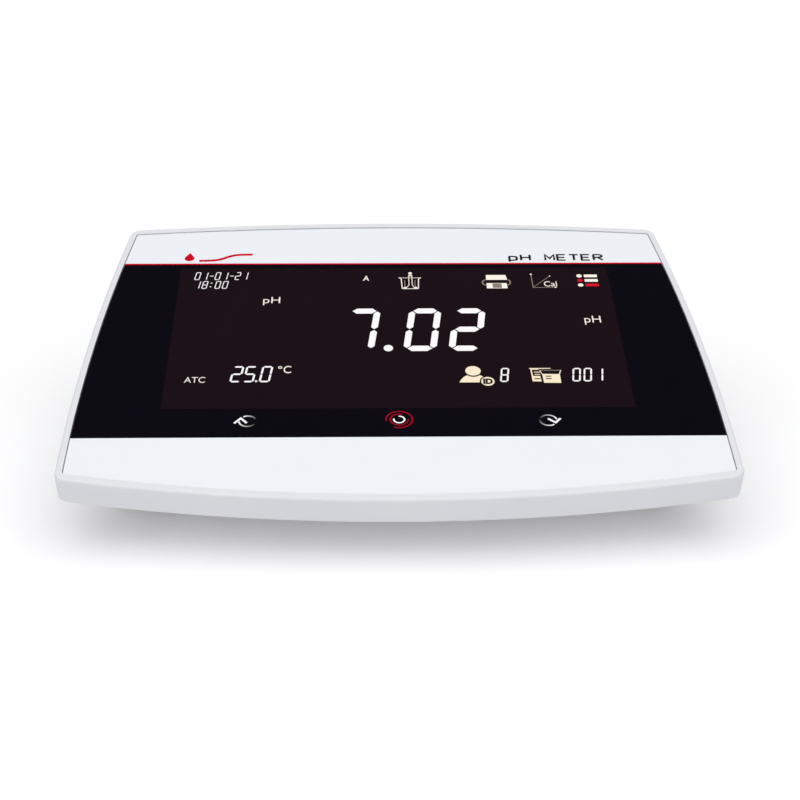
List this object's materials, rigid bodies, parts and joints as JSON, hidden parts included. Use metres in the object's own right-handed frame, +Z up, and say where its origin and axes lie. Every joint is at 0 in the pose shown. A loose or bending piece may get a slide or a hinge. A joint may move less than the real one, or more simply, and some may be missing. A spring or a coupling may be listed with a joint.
{
  "type": "bench ph meter",
  "caption": "Bench pH meter: sloping touch-key deck with a display on a low wedge base, with a row of probe, power and data sockets at the rear.",
  "frame": {"origin": "on the table under the middle of the meter's bounding box", "axes": "+X to the right as the user faces the display, +Y to the rear where the sockets are, +Z up"},
  "size_m": [0.2354, 0.1762, 0.0691],
  "materials": {
    "housing": "moulded ABS, fine satin grain",
    "base": "moulded ABS, fine texture",
    "panel": "printed acrylic, gloss",
    "tape": "double-sided adhesive tape",
    "display_glass": "liquid-crystal glass",
    "black_plastic": "moulded black plastic",
    "light_guide": "clear acrylic light guide with diffuser",
    "circuit_board": "green solder resist on glass epoxy",
    "chip": "moulded epoxy",
    "spring_steel": "plated spring wire",
    "screw_steel": "zinc plated",
    "white_plastic": "moulded nylon",
    "ribbon": "flat cable insulation",
    "seal_foam": "foam rubber gasket",
    "plate": "blank printed polyester label",
    "rear_plastic": "dark moulded ABS insert, fine texture",
    "tin": "tinned steel sheet",
    "cell_steel": "stainless steel button cell",
    "capacitor_can": "aluminium can",
    "ferrite": "ferrite",
    "nickel": "nickel-plated brass, turned",
    "ptfe": "white PTFE",
    "gold": "gold-plated contact",
    "cable_black": "black PVC insulation",
    "socket_black": "moulded black nylon",
    "flap_rubber": "moulded silicone rubber, matt",
    "foot_rubber": "moulded rubber foot, matt"
  },
  "bodies": {
    "root": {"top_cover": "housing", "panel_tape": "tape", "front_panel": "panel", "lcd_glass": "display_glass", "lcd_frame": "black_plastic", "lcd_backlight": "light_guide", "backlight_leds": "circuit_board", "display_board": "circuit_board", "display_drivers": "chip", "touch_springs": "spring_steel", "display_board_screws": "screw_steel", "ribbon_socket_upper": "white_plastic", "ribbon_socket_lower": "white_plastic", "display_ribbon": "ribbon", "case_seal": "seal_foam", "bottom_case": "base", "case_screws": "screw_steel", "rating_plate": "plate", "rear_panel": "rear_plastic", "main_board": "circuit_board", "main_board_screws": "screw_steel", "main_processor": "chip", "board_parts": "chip", "input_shield": "tin", "clock_cell": "cell_steel", "clock_cell_holder": "black_plastic", "power_capacitors": "capacitor_can", "power_inductor": "ferrite", "beeper": "black_plastic", "bnc_shell": "nickel", "bnc_insulator": "ptfe", "bnc_contact": "gold", "bnc_nut": "nickel", "bnc_coax_lead": "cable_black", "temperature_shell": "nickel", "temperature_insulator": "ptfe", "temperature_contact": "gold", "temperature_nut": "nickel", "reference_body": "socket_black", "reference_sleeve": "nickel", "reference_nut": "nickel", "sensor_leads": "cable_black", "power_jack_body": "socket_black", "power_jack_pin": "nickel", "usb_device_shell": "nickel", "usb_device_tongue": "white_plastic", "usb_host_shell": "nickel", "usb_host_tongue": "white_plastic", "serial_shell": "nickel", "serial_insert": "socket_black", "serial_pins": "gold", "serial_jackscrews": "nickel", "port_cover_strap": "flap_rubber", "foot_front_left": "foot_rubber", "foot_rear_left": "foot_rubber", "foot_front_right": "foot_rubber", "foot_rear_right": "foot_rubber"},
    "cap_core": {"short_cap_core": "nickel"},
    "cap_ring": {"short_cap_ring": "nickel"},
    "port_flap": {"port_cover": "flap_rubber"}
  },
  "joints": [
    {"name": "short_cap_pull", "type": "slide", "parent": "root", "child": "cap_core", "axis": [0, 1, 0], "range_m": [0, 0.02]},
    {"name": "short_cap_turn", "type": "hinge", "parent": "cap_core", "child": "cap_ring", "pos_m": [-0.066, 0.0826, 0.027], "axis": [0, -1, 0], "range_deg": [0, 90]},
    {"name": "port_cover_hinge", "type": "hinge", "parent": "root", "child": "port_flap", "pos_m": [0.04217, 0.072, 0.0282], "axis": [1, 0, 0], "range_deg": [0, 90]}
  ]
}
